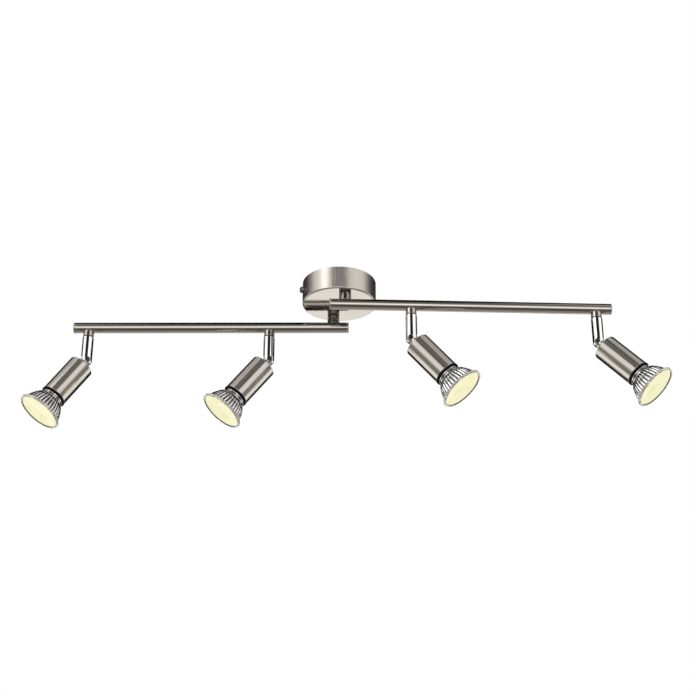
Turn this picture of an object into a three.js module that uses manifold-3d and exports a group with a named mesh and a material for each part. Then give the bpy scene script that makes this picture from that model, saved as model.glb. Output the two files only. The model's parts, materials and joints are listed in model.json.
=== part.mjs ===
// Ceiling spotlight bar: a round canopy, two swivelling bars and four tilting lamp heads.
// Millimetres, +Z up. The origin is the middle of the ceiling bracket's flat top face, on the ceiling.
// The bars lie along X, left and right; each bar carries an inner and an outer lamp head.
import * as THREE from 'three';
import { mergeVertices } from 'three/addons/utils/BufferGeometryUtils.js';
import Module from 'manifold-3d';

const wasm = await Module();
wasm.setup();

// ---- driving dimensions ------------------------------------------------------------------------
const gap = 0.3;                    // clearance between neighbouring pieces

// canopy: a drawn cup held on a ceiling bracket by a side screw and, opposite, a locating peg
const canopyRadius = 40.5;
const canopyHeight = 26;
const canopyWall = 1.0;
const canopyFloor = 1.2;
const canopyEdgeRadius = 1.6;
const canopyTurn = 15;              // degrees from X to the line through the side screw and the peg

// ceiling bracket: a strap with both ends bent down
const strapWidth = 16;
const strapThickness = 2;
const strapBend = 2.4;              // outer radius of the bends
const tabDrop = 17.5;
const ceilingSlotSpacing = 46;      // middle to middle
const ceilingSlotWidth = 5;
const ceilingSlotLength = 10;

// side screw that holds the cup to the bracket; the peg has its shank's radius
const sideScrewRadius = 1.7;
const sideScrewHeadRadius = 3.5;
const sideScrewHeadLength = 3.7;
const sideScrewDriverSlot = 1.0;
const pegInside = 1.5;              // peg behind the bracket's tab
const pegFlush = 0.1;               // peg's end below the cup's outside

// terminal block, earth screw and the two leads inside the canopy
const blockLength = 28;
const blockDepth = 16;
const blockHeight = 9;
const blockWays = 3;
const blockBore = 1.8;
const earthScrewInset = 7.2;        // from the strap's outside face
const earthScrewHeadRadius = 3.6;
const earthScrewHeadHeight = 2.2;
const leadRadius = 1.6;

// swivel stems between the canopy and the bars
const washerClearance = 2.2;        // between a washer and the cup's wall
const stemRadius = 6.6;
const stemFoot = 3;                 // bar's axis up to the stem's eased foot
const stemEdge = 0.8;
const stemNeckRadius = 4.7;
const stemBore = 3;
const stemThread = 1.5;             // thread left showing above the nut
const washerRadius = 8;
const washerThickness = 1;
const nutAcrossFlats = 14;
const nutHeight = 4;

// bars
const barDrop = 14;                 // canopy's bottom face to the bar's axis
const tubeRadius = 5.9;
const tubeWall = 1.0;
const tubeOverhang = 17;            // stem or outer stub to the bar's nearer end
const innerSpotDistance = 71.4;     // stem to the inner lamp
const spotSpacing = 201.6;          // inner lamp to the outer lamp
const plugHead = 2;
const plugEdge = 0.9;
const plugSpigot = 7;

// stubs under the bars
const stubRadius = 5.75;
const stubShoulder = 4.1;           // bar's axis down to the stub's rounded shoulder
const stubShoulderEdge = 1.5;
const stubReach = 12.2;             // bar's axis to the stub's bottom face
const stubBore = 3.9;

// swivel arms
const armRadius = 6.1;
const armLength = 28.1;             // stub's bottom face to the tilt pivot
const armBore = 2;
const armSpigot = 4.5;
const slotWidth = 4.6;
const armBack = 1.3;                // wall left behind the slot
const pivotRadius = 1.5;
const pivotHeadRadius = 2.6;
const pivotHeadSink = 1.2;

// lamp heads, measured from the tilt pivot along the head's own axis
const tongueClearance = 0.5;        // between the tongue's round end and the slot
const tongueHalfWidth = 4;
const slotReach = armRadius - armBack;
const tongueRadius = slotReach - tongueClearance;
const tongueFlangeRadius = 6;
const tongueFlange = 1.2;
const tongueSpigotRadius = 2.7;
const tongueSpigot = 4;
const housingStart = 9;
const housingLength = 47.9;
const housingWall = 1.0;
const housingEdge = 0.6;
const bezelLip = 0.4;               // the ring's edge past the housing
const bezelLength = 1.9;
const bezelWall = 1.0;
const bezelEdge = 0.6;
const bezelSpigot = 4;
const holderClearance = 1.6;
const holderLength = 17;
const pinSpacing = 10;              // bi-pin lamp cap
const pinRadius = 2.4;
const pinLength = 7;
const baseInset = 0.5;              // the cap's side in from the neck's
const baseLength = 14.5;
const neckRadius = 11.3;
const neckClearance = 0.5;
const neckRing = 1.4;
const neckRingLength = 3.2;
const bellMouthRadius = 22.4;
const bulbRimRadius = 25;           // reflector lamp with a 50 mm rim
const bulbRimPlane = 82.7;          // pivot to the front glass's face
const rimThickness = 2.7;
const glassWall = 1.1;
const lensRadius = 23.2;
const lensThickness = 1.6;
const bezelBore = neckRadius + neckClearance;
const housingRadius = bezelBore + bezelWall + gap + housingWall;
const bezelRadius = housingRadius + bezelLip;
const holderRadius = housingRadius - housingWall - holderClearance;
const baseRadius = neckRadius - baseInset;
const neckRingRadius = neckRadius + neckRing;

// rest pose: bars turned about their stems, heads panned from their bar's outward line and tilted
const degree = Math.PI / 180;
const stemTurn = -77.1;             // degrees from X to the right bar's stem; the left one is opposite
const bars = [
  { side: 'left', stemAt: stemTurn + 180, yaw: 179.8, pans: [11.8, 20.8], tilts: [37.7, 33.8] },
  { side: 'right', stemAt: stemTurn, yaw: 2.3, pans: [-13.7, -20.7], tilts: [39.8, 42.4] },
];

// facets round a full turn
const coarse = 8;
const round = 16;
const headFacets = 20;
const fine = 36;

// ---- materials ---------------------------------------------------------------------------------
const finish = (color, metalness, roughness) =>
  new THREE.MeshStandardMaterial({ color, metalness, roughness });
const satinNickel = finish(0xb5afa6, 1, 0.32);
const chrome = finish(0xdedede, 1, 0.06);
const zincSteel = finish(0xa9adb0, 1, 0.45);
const blackPlastic = finish(0x0c0c0c, 0, 0.4);
const whitePlastic = finish(0xe8e6df, 0, 0.5);
const leadSheath = finish(0xd8d8d4, 0, 0.6);
const steatite = finish(0xe6dfd0, 0, 0.7);
const silveredGlass = finish(0xc9c9cc, 0.9, 0.12);
const lensGlass = finish(0xfbf3c0, 0, 0.15);

// ---- solids ------------------------------------------------------------------------------------
// Merge a geometry's vertices, drop flat slivers at the poles and turn the faces outwards.
function closed(geometry) {
  const bare = geometry.clone();
  for (const name of ['normal', 'uv']) bare.deleteAttribute(name);
  const merged = mergeVertices(bare, 1e-4);
  const index = merged.getIndex().array;
  const points = merged.getAttribute('position').array;
  const triangles = [];
  let volume = 0;
  const corner = (i) => new THREE.Vector3().fromArray(points, 3 * i);
  for (let i = 0; i < index.length; i += 3) {
    const [a, b, c] = [index[i], index[i + 1], index[i + 2]];
    if (a === b || b === c || c === a) continue;
    triangles.push(a, b, c);
    volume += corner(a).dot(corner(b).cross(corner(c)));
  }
  if (volume < 0) {
    for (let i = 0; i < triangles.length; i += 3) {
      [triangles[i + 1], triangles[i + 2]] = [triangles[i + 2], triangles[i + 1]];
    }
  }
  merged.setIndex(triangles);
  return merged;
}

function toSolid(geometry) {
  const shape = closed(geometry);
  return new wasm.Manifold(new wasm.Mesh({
    numProp: 3,
    vertProperties: new Float32Array(shape.getAttribute('position').array),
    triVerts: new Uint32Array(shape.getIndex().array),
  }));
}

function toGeometry(solid) {
  const mesh = solid.getMesh();
  const geometry = new THREE.BufferGeometry();
  geometry.setAttribute('position', new THREE.BufferAttribute(mesh.vertProperties, 3));
  geometry.setIndex(new THREE.BufferAttribute(mesh.triVerts, 1));
  return geometry;
}

function cut(geometry, ...tools) {
  return toGeometry(tools.reduce((left, tool) => left.subtract(toSolid(tool)), toSolid(geometry)));
}

function join(geometry, ...others) {
  return toGeometry(others.reduce((sum, other) => sum.add(toSolid(other)), toSolid(geometry)));
}

// A profile of [radius, z] pairs turned about Z.
function turned(profile, segments = round) {
  const points = profile.map(([r, z]) => new THREE.Vector2(r, z));
  return closed(new THREE.LatheGeometry(points, segments).rotateX(Math.PI / 2));
}

// A profile that runs round a hollow ring and closes on itself.
const ring = (profile, segments = round) => turned([...profile, profile[0]], segments);

// A plain rod along Z.
const rod = (radius, low, high, segments = coarse) =>
  turned([[0, low], [radius, low], [radius, high], [0, high]], segments);

const alongX = (geometry) => geometry.rotateY(Math.PI / 2);
const alongY = (geometry) => geometry.rotateX(-Math.PI / 2);

// The corner points of a quarter round, from one angle to another.
function quarter(centreR, centreZ, radius, from, to, steps = 2) {
  return Array.from({ length: steps + 1 }, (_, i) => {
    const angle = (from + ((to - from) * i) / steps) * degree;
    return [centreR + radius * Math.cos(angle), centreZ + radius * Math.sin(angle)];
  });
}

function block(sizeX, sizeY, sizeZ, x = 0, y = 0, z = 0) {
  return new THREE.BoxGeometry(sizeX, sizeY, sizeZ).translate(x, y, z);
}

function piece(parent, name, geometry, material) {
  const mesh = new THREE.Mesh(geometry, material);
  mesh.name = name;
  parent.add(mesh);
  return mesh;
}

// ---- canopy ------------------------------------------------------------------------------------
const fixture = new THREE.Group();
const canopyGroup = new THREE.Group();
canopyGroup.rotation.z = canopyTurn * degree;
fixture.add(canopyGroup);

const floorTop = -canopyHeight + canopyFloor;
const canopyInside = canopyRadius - canopyWall;
const screwLevel = -canopyHeight / 2;
const stemCircleRadius = canopyInside - washerClearance - washerRadius;
const facetSag = Math.cos(Math.PI / fine);
const tabOutside = Math.sqrt((canopyInside * facetSag - gap) ** 2 - (strapWidth / 2) ** 2);
const earthScrewOffset = tabOutside - earthScrewInset;
const stemHole = stemNeckRadius + gap;
const stemPlace = (angle) => [
  stemCircleRadius * Math.cos(angle * degree), stemCircleRadius * Math.sin(angle * degree)];

function canopyCup() {
  const r = canopyRadius;
  const e = canopyEdgeRadius;
  const cup = turned([
    [0, -canopyHeight],
    ...quarter(r - e, -canopyHeight + e, e, -90, 0),
    [r, 0], [canopyInside, 0], [canopyInside, floorTop], [0, floorTop],
  ], fine);
  const stemHoles = bars.map(({ stemAt }) => {
    const [x, y] = stemPlace(stemAt - canopyTurn);
    return rod(stemHole, -canopyHeight - 1, floorTop + 1, round).translate(x, y, 0);
  });
  const screwHoles = [-1, 1].map((end) =>
    alongX(rod(sideScrewRadius + gap, -canopyWall - 1, canopyWall + 1))
      .translate(end * canopyRadius, 0, screwLevel));
  return cut(cup, ...stemHoles, ...screwHoles);
}

// A flat slot through the strap, long side along X.
function ceilingSlot(x) {
  const halfWidth = ceilingSlotWidth / 2;
  const straight = (ceilingSlotLength - ceilingSlotWidth) / 2;
  const outline = new THREE.Shape();
  outline.absarc(straight, 0, halfWidth, -Math.PI / 2, Math.PI / 2, false);
  outline.absarc(-straight, 0, halfWidth, Math.PI / 2, 1.5 * Math.PI, false);
  outline.closePath();
  return new THREE.ExtrudeGeometry(outline, {
    depth: 2 * strapThickness, bevelEnabled: false, curveSegments: 6,
  }).translate(x, 0, -1.5 * strapThickness);
}

function ceilingBracket() {
  const inner = strapBend - strapThickness;
  const half = new THREE.Shape();
  half.moveTo(-tabOutside, -tabDrop);
  half.lineTo(-tabOutside, -strapBend);
  half.absarc(-tabOutside + strapBend, -strapBend, strapBend, Math.PI, Math.PI / 2, true);
  half.absarc(tabOutside - strapBend, -strapBend, strapBend, Math.PI / 2, 0, true);
  half.lineTo(tabOutside, -tabDrop);
  half.lineTo(tabOutside - strapThickness, -tabDrop);
  half.absarc(tabOutside - strapBend, -strapBend, inner, 0, Math.PI / 2, false);
  half.absarc(-tabOutside + strapBend, -strapBend, inner, Math.PI / 2, Math.PI, false);
  half.lineTo(-tabOutside + strapThickness, -tabDrop);
  half.closePath();
  const strap = new THREE.ExtrudeGeometry(half, {
    depth: strapWidth, bevelEnabled: false, curveSegments: 5,
  }).translate(0, 0, -strapWidth / 2).rotateX(Math.PI / 2);
  const tabHoles = [-1, 1].map((end) =>
    alongX(rod(sideScrewRadius + gap, -2 * strapThickness, 2 * strapThickness))
      .translate(end * (tabOutside - strapThickness / 2), 0, screwLevel));
  const slots = [-1, 1].map((end) => ceilingSlot((end * ceilingSlotSpacing) / 2));
  const earthHole = rod(sideScrewRadius + gap, -2 * strapThickness, strapThickness)
    .translate(earthScrewOffset, 0, 0);
  return cut(strap, ...tabHoles, ...slots, earthHole);
}

// Round-headed screw along +X, with its head outside the cup.
function sideScrew() {
  const inside = tabOutside - strapThickness - 3;
  const headStart = canopyRadius + gap;
  const headEnd = headStart + sideScrewHeadLength;
  const r = sideScrewHeadRadius;
  const shape = alongX(turned([
    [0, inside], [sideScrewRadius, inside], [sideScrewRadius, headStart], [r, headStart],
    ...quarter(r - 1, headEnd - 1, 1, 0, 90, 3), [0, headEnd],
  ], round));
  const slot = block(sideScrewDriverSlot, sideScrewDriverSlot, 3 * r)
    .translate(headEnd - sideScrewDriverSlot / 2 + 0.01, 0, 0);
  return cut(shape, slot).translate(0, 0, screwLevel);
}

// Plain peg on the bracket's other tab. It fits the cup's second hole and ends flush with the wall.
function locatingPeg() {
  const [low, high, r] = [tabOutside - strapThickness - pegInside, canopyRadius - pegFlush, sideScrewRadius];
  return alongX(turned([[0, low], [r, low], [r, high - 0.3], [r - 0.3, high], [0, high]]))
    .translate(0, 0, screwLevel);
}

// Block of clamp terminals with a wire bore and a raised screw collar for each way.
const blockTop = -strapThickness - gap;
const wayPitch = blockLength / blockWays;
const wayX = (way) => (way - (blockWays - 1) / 2) * wayPitch;
function terminalBlock() {
  const middle = blockTop - blockHeight / 2;
  const ways = Array.from({ length: blockWays }, (_, way) => wayX(way));
  const collars = ways.map((x) =>
    rod(wayPitch / 3, middle - blockHeight / 2 - 1.5, middle).translate(x, 0, 0));
  const body = join(block(blockLength, blockDepth, blockHeight, 0, 0, middle), ...collars);
  const bores = ways.map((x) =>
    alongY(rod(blockBore, -blockDepth, blockDepth)).translate(x, 0, middle));
  const notches = ways.slice(1).map((x) =>
    block(1.6, 2 * blockDepth, 2.5, x - wayPitch / 2, 0, blockTop - blockHeight));
  return cut(body, ...bores, ...notches);
}

function earthScrew() {
  const headTop = -strapThickness - gap;
  const low = headTop - earthScrewHeadHeight;
  const r = earthScrewHeadRadius;
  const shape = turned([
    [0, low], ...quarter(r - 0.8, low + 0.8, 0.8, -90, 0, 3), [r, headTop],
    [sideScrewRadius, headTop], [sideScrewRadius, -gap], [0, -gap],
  ], round);
  return cut(shape, block(1, 3 * r, 1.6).translate(0, 0, low)).translate(earthScrewOffset, 0, 0);
}

piece(canopyGroup, 'canopy_cup', canopyCup(), satinNickel);
piece(canopyGroup, 'ceiling_bracket', ceilingBracket(), zincSteel);
piece(canopyGroup, 'terminal_block', terminalBlock(), whitePlastic);
piece(canopyGroup, 'earth_screw', earthScrew(), zincSteel);
piece(canopyGroup, 'canopy_peg', locatingPeg(), zincSteel);
piece(canopyGroup, 'canopy_screw', sideScrew(), satinNickel).rotation.z = Math.PI;

// ---- leads -------------------------------------------------------------------------------------
// Each lead leaves an outer way of the block, dips and goes straight down a stem's bore.
function lead(stemAt) {
  const side = Math.sign(Math.sin((stemAt - canopyTurn) * degree));
  const [x, y] = stemPlace(stemAt - canopyTurn);
  const wayStart = new THREE.Vector3(
    wayX(side > 0 ? blockWays - 1 : 0), side * (blockDepth / 2 + gap), blockTop - blockHeight / 2);
  const top = -canopyHeight + canopyFloor + washerThickness + nutHeight + stemThread + 3 * gap;
  const route = new THREE.CatmullRomCurve3([
    wayStart,
    wayStart.clone().add(new THREE.Vector3(0, side * 4, 0.3)),
    new THREE.Vector3(x * 0.5 + wayStart.x * 0.5, side * 18, top + 8.5),
    new THREE.Vector3(x, y - side * 1.2, top + 7),
    new THREE.Vector3(x, y, top + 2),
    new THREE.Vector3(x, y, top - 4),
    new THREE.Vector3(x, y, -canopyHeight),
  ], false, 'centripetal');
  const section = new THREE.Shape();
  section.absarc(0, 0, leadRadius, 0, 2 * Math.PI, false);
  return closed(new THREE.ExtrudeGeometry(section, {
    steps: 16, curveSegments: coarse / 2, bevelEnabled: false, extrudePath: route,
  }));
}
for (const { side, stemAt } of bars) {
  piece(canopyGroup, `${side}_lead`, lead(stemAt), leadSheath);
}

// ---- bars --------------------------------------------------------------------------------------
// In a bar's own frame X runs outwards along the tube from the stem, and Z = 0 is the tube's axis.
const tubeClearance = alongX(rod(tubeRadius + gap, -40, 40, round));
const outerSpotDistance = innerSpotDistance + spotSpacing;
const barStart = -tubeOverhang;
const barEnd = outerSpotDistance + tubeOverhang;

function stem() {
  const shoulder = barDrop - gap;
  const top = barDrop + canopyFloor + washerThickness + nutHeight + stemThread + 2 * gap;
  const [r, e] = [stemRadius, stemEdge];
  const shape = ring([
    [stemBore, stemFoot], ...quarter(r - e, stemFoot + e, e, -90, 0), [r, shoulder - e], [r - e, shoulder],
    [stemNeckRadius, shoulder], [stemNeckRadius, top], [stemBore, top],
  ]);
  return cut(shape, tubeClearance);
}

const washerLow = barDrop + canopyFloor + gap;
const nutLow = washerLow + washerThickness + gap;
const stemWasher = () => ring([
  [stemHole, washerLow], [washerRadius, washerLow],
  [washerRadius, washerLow + washerThickness], [stemHole, washerLow + washerThickness],
]);

function stemNut() {
  const outline = new THREE.Shape();
  const cornerRadius = nutAcrossFlats / 2 / Math.cos(Math.PI / 6);
  for (let side = 0; side < 6; side += 1) {
    const angle = (side * Math.PI) / 3;
    const move = side === 0 ? 'moveTo' : 'lineTo';
    outline[move](cornerRadius * Math.cos(angle), cornerRadius * Math.sin(angle));
  }
  outline.closePath();
  const hole = new THREE.Path();
  hole.absarc(0, 0, stemHole, 0, 2 * Math.PI, false);
  outline.holes.push(hole);
  return closed(new THREE.ExtrudeGeometry(outline, {
    depth: nutHeight, bevelEnabled: false, curveSegments: 12,
  })).translate(0, 0, nutLow);
}

function barTube() {
  const [r, w] = [tubeRadius, tubeRadius - tubeWall];
  const [low, high] = [barStart + plugHead + gap, barEnd - plugHead - gap];
  const tube = alongX(ring([[w, low], [r, low], [r, high], [w, high]]));
  const stemOpening = rod(stemBore, 0, 2 * tubeRadius, round);
  const stubOpenings = [innerSpotDistance, outerSpotDistance].map((x) =>
    rod(stemBore, -2 * tubeRadius, 0, round).translate(x, 0, 0));
  return cut(tube, stemOpening, ...stubOpenings);
}

// Plug pushed into a tube's end: a round-edged head and a spigot. It points along +X.
function endPlug() {
  const r = tubeRadius;
  const spigotRadius = tubeRadius - tubeWall - gap;
  return alongX(turned([
    [0, -plugSpigot], [spigotRadius, -plugSpigot], [spigotRadius, 0], [r, 0],
    ...quarter(r - plugEdge, plugHead - plugEdge, plugEdge, 0, 90), [0, plugHead],
  ]));
}

function stub() {
  const low = -stubReach;
  const [r, e] = [stubRadius, stubShoulderEdge];
  const shape = ring([
    [stubBore, low], [r - 0.4, low], [r, low + 0.4],
    ...quarter(r - e, -stubShoulder - e, e, 0, 90), [stubBore, -stubShoulder],
  ]);
  return cut(shape, tubeClearance);
}

// ---- lamp heads --------------------------------------------------------------------------------
// An arm's own frame has its origin on the tilt pivot; the slot opens towards +X and downwards.
function swivelArm() {
  const top = armLength - gap;
  const r = armRadius;
  const body = turned([
    ...quarter(0, 0, r, -90, 0, 4), [r, top - 0.5], [r - 0.5, top],
    [stubBore - gap, top], [stubBore - gap, top + armSpigot], [0, top + armSpigot],
  ]);
  const slot = new THREE.Shape();
  slot.moveTo(-slotReach, -2 * r);
  slot.lineTo(2 * r, -2 * r);
  slot.lineTo(2 * r, slotReach);
  slot.lineTo(0, slotReach);
  slot.absarc(0, 0, slotReach, Math.PI / 2, Math.PI, false);
  slot.closePath();
  const slotCut = new THREE.ExtrudeGeometry(slot, {
    depth: slotWidth, bevelEnabled: false, curveSegments: 6,
  }).translate(0, 0, -slotWidth / 2).rotateX(Math.PI / 2);
  const wireBore = rod(armBore, 0, top + armSpigot + 1);
  const pinHole = alongY(rod(pivotRadius + gap, -2 * r, 2 * r));
  const headSinks = [0, Math.PI].map((turn) =>
    alongY(rod(pivotHeadRadius + gap, r - pivotHeadSink - gap, 2 * r)).rotateZ(turn));
  return cut(body, slotCut, wireBore, pinHole, ...headSinks);
}

// Pivot screw through the fork and the tongue, with a sunk head at each end.
function pivotScrew() {
  const end = armRadius - 0.2;
  const headLow = armRadius - pivotHeadSink;
  const shape = alongY(turned([
    [0, -end], [pivotHeadRadius, -end], [pivotHeadRadius, -headLow], [pivotRadius, -headLow],
    [pivotRadius, headLow], [pivotHeadRadius, headLow], [pivotHeadRadius, end], [0, end],
  ], round));
  return cut(shape, block(1, 1.2, 3 * pivotHeadRadius, 0, -end, 0));
}

// In a lamp head's own frame the tilt pivot is the origin and the lamp points along -Z.
function tongue() {
  const thickness = slotWidth - 2 * gap;
  const flangeLow = -housingStart + gap;
  const flangeTop = flangeLow + tongueFlange;
  const outline = new THREE.Shape();
  outline.moveTo(-tongueHalfWidth, flangeTop);
  outline.lineTo(tongueHalfWidth, flangeTop);
  outline.lineTo(tongueHalfWidth, 0);
  outline.absarc(0, 0, tongueRadius, 0, Math.PI, false);
  outline.lineTo(-tongueHalfWidth, 0);
  outline.closePath();
  const plate = new THREE.ExtrudeGeometry(outline, {
    depth: thickness, bevelEnabled: false, curveSegments: 6,
  }).translate(0, 0, -thickness / 2).rotateX(Math.PI / 2);
  const foot = turned([
    [0, flangeLow - tongueSpigot], [tongueSpigotRadius, flangeLow - tongueSpigot],
    [tongueSpigotRadius, flangeLow], [tongueFlangeRadius, flangeLow],
    [tongueFlangeRadius, flangeTop - 0.4], [tongueFlangeRadius - 0.4, flangeTop + 0.01],
    [0, flangeTop + 0.01],
  ]);
  const pinHole = alongY(rod(pivotRadius + gap, -slotWidth, slotWidth));
  return cut(join(plate, foot), pinHole);
}

const housingEnd = housingStart + housingLength;
const housingInside = housingRadius - housingWall;
function housing() {
  const [r, w, e] = [housingRadius, housingInside, housingEdge];
  const hole = tongueSpigotRadius + gap;
  const top = -housingStart;
  const low = -housingEnd;
  return ring([
    [hole, top], [r - e, top], [r, top - e], [r, low + e / 2], [r - e / 2, low],
    [w, low], [w, top - housingWall], [hole, top - housingWall],
  ], headFacets);
}

const bezelTop = -housingEnd - gap;
const bezelLow = bezelTop - bezelLength;
function bezelRing() {
  const spigot = housingInside - gap;
  const r = bezelRadius;
  return ring([
    [bezelBore, bezelLow], [r - bezelEdge, bezelLow], [r, bezelLow + bezelEdge], [r, bezelTop],
    [spigot, bezelTop], [spigot, bezelTop + bezelSpigot], [bezelBore, bezelTop + bezelSpigot],
  ], headFacets);
}

const holderTop = -housingStart - housingWall - tongueSpigot;
const holderLow = holderTop - holderLength;
function lampholder() {
  const r = holderRadius;
  const body = turned([
    [0, holderLow], [r, holderLow], [r, holderTop - 1], [r - 1, holderTop], [0, holderTop],
  ]);
  const sockets = [-1, 1].map((end) =>
    rod(pinRadius + 2 * gap, holderLow - 1, holderLow + pinLength + 1)
      .translate((end * pinSpacing) / 2, 0, 0));
  return cut(body, ...sockets);
}

const baseTop = holderLow - gap;
const baseLow = baseTop - baseLength;
function bulbBase() {
  const r = baseRadius;
  const body = turned([
    [0, baseLow], [r, baseLow], [r, baseTop - 1], [r - 1, baseTop], [0, baseTop],
  ]);
  const pins = [-1, 1].flatMap((end) => [
    rod(pinRadius * 0.6, baseTop - 1, baseTop + pinLength - 1).translate((end * pinSpacing) / 2, 0, 0),
    rod(pinRadius, baseTop + pinLength - 3, baseTop + pinLength).translate((end * pinSpacing) / 2, 0, 0),
  ]);
  return join(body, ...pins);
}

// Pressed-glass reflector: a neck with two rings, a bell in two curved tiers and a flat clear rim.
const neckStart = bezelLow - gap;
const bellStart = neckStart - neckRingLength;
const rimBack = -bulbRimPlane + rimThickness;
const bellDepth = bellStart - rimBack;
const bellBack = neckRingRadius + gap;
const bellOutline = [[0, 0], [0.25, 0.457], [0.6, 0.777], [1, 1]].map(([depth, flare]) => [
  bellBack + flare * (bellMouthRadius - bellBack), bellStart - depth * bellDepth]);
function bulbShell() {
  const outer = [
    [neckRadius, baseLow - gap], [neckRadius, neckStart],
    [neckRingRadius, neckStart], [neckRingRadius, bellStart],
    ...bellOutline,
    [bulbRimRadius, rimBack], [bulbRimRadius, -bulbRimPlane],
  ];
  const seat = -bulbRimPlane + lensThickness + gap;
  const inner = [
    [lensRadius + gap, -bulbRimPlane], [lensRadius + gap, seat],
    [bellOutline.at(-1)[0] - glassWall, seat],
    ...bellOutline.slice(0, -1).reverse().map(([radius, z]) => [radius - glassWall, z]),
    [neckRadius - glassWall, bellStart], [neckRadius - glassWall, baseLow - gap],
  ];
  return ring([...outer, ...inner], headFacets);
}

const bulbLens = () => turned([
  [0, -bulbRimPlane], [lensRadius - 0.4, -bulbRimPlane], [lensRadius, -bulbRimPlane + 0.4],
  [lensRadius, -bulbRimPlane + lensThickness], [0, -bulbRimPlane + lensThickness],
], headFacets);

function lampHead(barGroup, name, distance, pan, tilt) {
  const armGroup = new THREE.Group();
  armGroup.position.set(distance, 0, -stubReach - armLength);
  armGroup.rotation.z = pan * degree;
  barGroup.add(armGroup);
  piece(armGroup, `${name}_arm`, swivelArm(), chrome);
  piece(armGroup, `${name}_pivot_screw`, pivotScrew(), zincSteel);
  const headGroup = new THREE.Group();
  headGroup.rotation.y = -tilt * degree;
  armGroup.add(headGroup);
  piece(headGroup, `${name}_tongue`, tongue(), chrome);
  piece(headGroup, `${name}_housing`, housing(), satinNickel);
  piece(headGroup, `${name}_bezel_ring`, bezelRing(), blackPlastic);
  piece(headGroup, `${name}_lampholder`, lampholder(), steatite);
  piece(headGroup, `${name}_bulb_base`, bulbBase(), steatite);
  piece(headGroup, `${name}_bulb_reflector`, bulbShell(), silveredGlass);
  piece(headGroup, `${name}_bulb_lens`, bulbLens(), lensGlass);
}

for (const { side, stemAt, yaw, pans, tilts } of bars) {
  const barGroup = new THREE.Group();
  const [x, y] = stemPlace(stemAt);
  barGroup.position.set(x, y, -canopyHeight - barDrop);
  barGroup.rotation.z = yaw * degree;
  fixture.add(barGroup);
  piece(barGroup, `${side}_stem`, stem(), satinNickel);
  piece(barGroup, `${side}_stem_washer`, stemWasher(), zincSteel);
  piece(barGroup, `${side}_stem_nut`, stemNut(), zincSteel);
  piece(barGroup, `${side}_bar_tube`, barTube(), satinNickel);
  const innerPlug = piece(barGroup, `${side}_inner_end_plug`, endPlug(), satinNickel);
  innerPlug.position.x = barStart + plugHead;
  innerPlug.rotation.z = Math.PI;
  const outerPlug = piece(barGroup, `${side}_outer_end_plug`, endPlug(), satinNickel);
  outerPlug.position.x = barEnd - plugHead;
  [innerSpotDistance, outerSpotDistance].forEach((distance, place) => {
    const name = `${side}_${place === 0 ? 'inner' : 'outer'}`;
    const stubPiece = piece(barGroup, `${name}_stub`, stub(), satinNickel);
    stubPiece.position.x = distance;
    lampHead(barGroup, name, distance, pans[place], tilts[place]);
  });
}

export default fixture;
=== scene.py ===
import json

import bmesh
import bpy
import numpy as np
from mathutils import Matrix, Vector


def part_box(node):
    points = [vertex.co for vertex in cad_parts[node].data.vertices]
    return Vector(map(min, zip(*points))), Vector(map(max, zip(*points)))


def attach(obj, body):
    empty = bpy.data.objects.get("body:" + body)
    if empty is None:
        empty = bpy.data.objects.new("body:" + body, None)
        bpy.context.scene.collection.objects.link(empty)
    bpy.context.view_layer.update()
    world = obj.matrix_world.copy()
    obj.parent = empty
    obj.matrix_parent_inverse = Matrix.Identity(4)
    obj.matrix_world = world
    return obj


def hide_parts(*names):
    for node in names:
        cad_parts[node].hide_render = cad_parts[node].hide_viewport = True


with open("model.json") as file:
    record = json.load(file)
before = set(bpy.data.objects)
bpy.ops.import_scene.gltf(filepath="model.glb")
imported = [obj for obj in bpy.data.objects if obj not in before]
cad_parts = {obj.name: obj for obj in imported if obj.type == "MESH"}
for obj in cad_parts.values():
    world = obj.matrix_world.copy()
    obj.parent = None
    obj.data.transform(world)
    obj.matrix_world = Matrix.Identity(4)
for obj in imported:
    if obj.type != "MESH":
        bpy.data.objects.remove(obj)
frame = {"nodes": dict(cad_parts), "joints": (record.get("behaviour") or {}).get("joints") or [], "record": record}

MM = 0.001
TURN = 2 * np.pi
SIDES = ("left", "right")
PLACES = ("inner", "outer")

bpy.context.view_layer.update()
joints = {joint["name"]: joint for joint in frame["joints"]}


# ---- places: each assembly's own axes, as a 4x4 matrix -------------------------------------------
def unit(vector):
    """The vector divided by its length."""
    vector = np.asarray(vector, float)
    return vector / np.linalg.norm(vector)


def seat(origin, z_axis, x_towards):
    """Axes at origin: Z as given, X the part of x_towards that is square to Z, and Y = Z cross X."""
    z_axis = unit(z_axis)
    x_axis = unit(np.asarray(x_towards, float) - z_axis * np.dot(x_towards, z_axis))
    place = np.eye(4)
    place[:3, 0], place[:3, 1], place[:3, 2] = x_axis, np.cross(z_axis, x_axis), z_axis
    place[:3, 3] = origin
    return place


def shifted(place, x=0.0, y=0.0, z=0.0):
    """The same axes, with the origin moved along them."""
    moved = place.copy()
    moved[:3, 3] = place[:3, :3] @ np.array([x, y, z]) + place[:3, 3]
    return moved


def lying(place, along=1.0):
    """Axes at the same origin whose Z lies along the old X or against it, and X along the old Z."""
    return seat(place[:3, 3], along * place[:3, 0], place[:3, 2])


def crosswise(place, along=-1):
    """Axes at the same origin whose Z lies along the old Y or against it, with X as before."""
    return seat(place[:3, 3], along * place[:3, 1], place[:3, 0])


def corner_points(mesh):
    """A mesh's corner points, one row each."""
    points = np.empty(3 * len(mesh.vertices), np.float32)
    mesh.vertices.foreach_get("co", points)
    return points.reshape(-1, 3).astype(float)


def in_place(points, place):
    """Points of the shared frame given in a place's own axes."""
    return (points - place[:3, 3]) @ place[:3, :3]


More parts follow.
